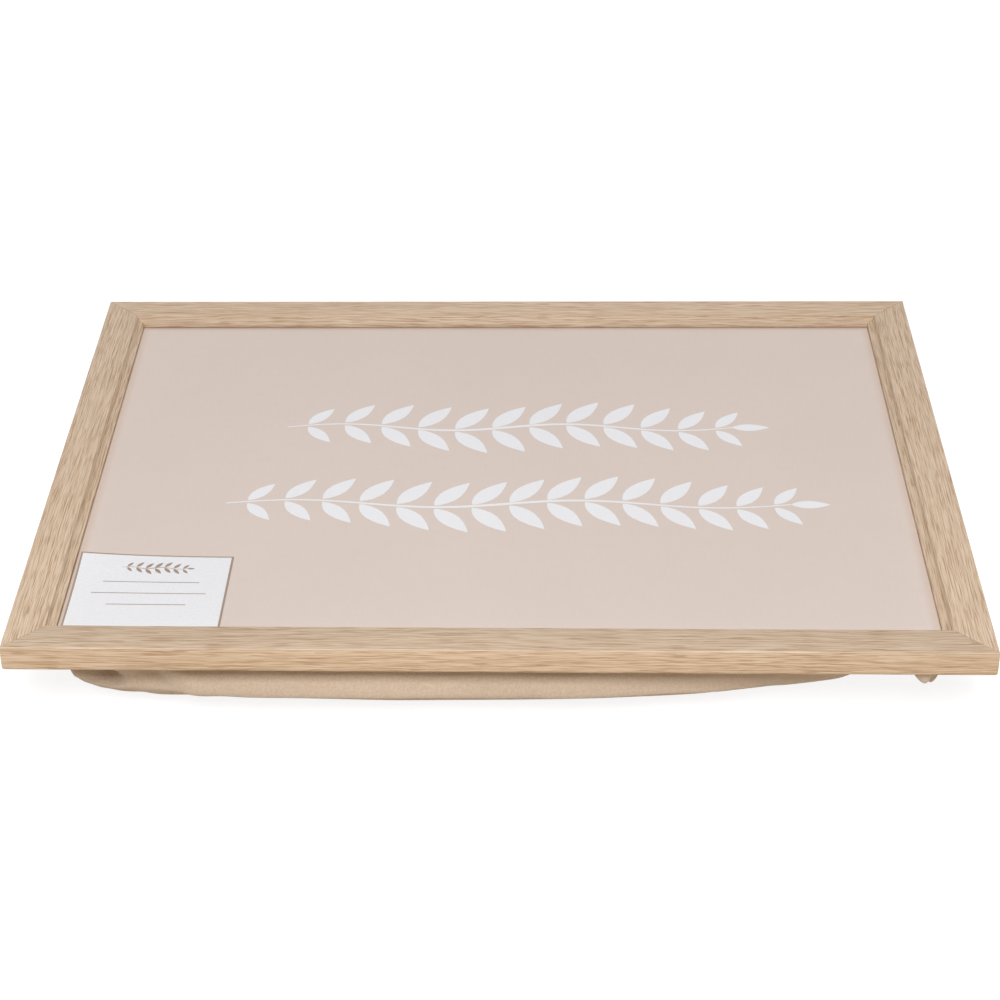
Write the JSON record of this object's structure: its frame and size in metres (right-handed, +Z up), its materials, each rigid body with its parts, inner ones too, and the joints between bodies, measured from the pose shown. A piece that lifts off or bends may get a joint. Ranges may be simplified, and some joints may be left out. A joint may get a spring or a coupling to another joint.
{
  "type": "lap tray",
  "caption": "Rectangular lap tray: oak-effect frame with mitred corners round a pale matt panel, on a soft bead-filled fabric bag that rests on the knees.",
  "frame": {"origin": "on the table, under the middle of the tray", "axes": "+X along the tray's length to the user's right, +Y to the tray's back edge, +Z up"},
  "size_m": [0.43, 0.33, 0.06],
  "materials": {
    "oak_foil": "satin oak-effect foil on fibreboard",
    "printed_paper": "matt pink-beige decor paper with a fine linen grain",
    "raw_mdf": "bare fibreboard",
    "white_card": "smooth white card with a thin taupe border",
    "bag_cloth": "tan woven polyester",
    "lining_cloth": "plain undyed lining cloth",
    "foam_beads": "loose white polystyrene beads",
    "steel": "zinc-plated wire and strip"
  },
  "bodies": {
    "root": {"front_rail": "oak_foil", "right_rail": "oak_foil", "back_rail": "oak_foil", "left_rail": "oak_foil", "printed_sheet": "printed_paper", "tray_board": "raw_mdf", "label_card": "white_card", "bag_cover": "bag_cloth", "bag_lining": "lining_cloth", "bead_fill": "foam_beads", "hem_staple_front_1": "steel", "hem_staple_front_2": "steel", "hem_staple_front_3": "steel", "hem_staple_front_4": "steel", "hem_staple_front_5": "steel", "hem_staple_front_6": "steel", "hem_staple_front_7": "steel", "hem_staple_front_8": "steel", "holding_point_front_1": "steel", "holding_point_front_2": "steel", "holding_point_front_3": "steel", "hem_staple_right_1": "steel", "hem_staple_right_2": "steel", "hem_staple_right_3": "steel", "hem_staple_right_4": "steel", "hem_staple_right_5": "steel", "hem_staple_right_6": "steel", "holding_point_right_1": "steel", "holding_point_right_2": "steel", "hem_staple_back_1": "steel", "hem_staple_back_2": "steel", "hem_staple_back_3": "steel", "hem_staple_back_4": "steel", "hem_staple_back_5": "steel", "hem_staple_back_6": "steel", "hem_staple_back_7": "steel", "hem_staple_back_8": "steel", "holding_point_back_1": "steel", "holding_point_back_2": "steel", "holding_point_back_3": "steel", "hem_staple_left_1": "steel", "hem_staple_left_2": "steel", "hem_staple_left_3": "steel", "hem_staple_left_4": "steel", "hem_staple_left_5": "steel", "hem_staple_left_6": "steel", "holding_point_left_1": "steel", "holding_point_left_2": "steel", "v_nail_front_left_outer": "steel", "v_nail_front_left_inner": "steel", "v_nail_front_right_outer": "steel", "v_nail_front_right_inner": "steel", "v_nail_back_right_outer": "steel", "v_nail_back_right_inner": "steel", "v_nail_back_left_outer": "steel", "v_nail_back_left_inner": "steel"}
  },
  "joints": []
}
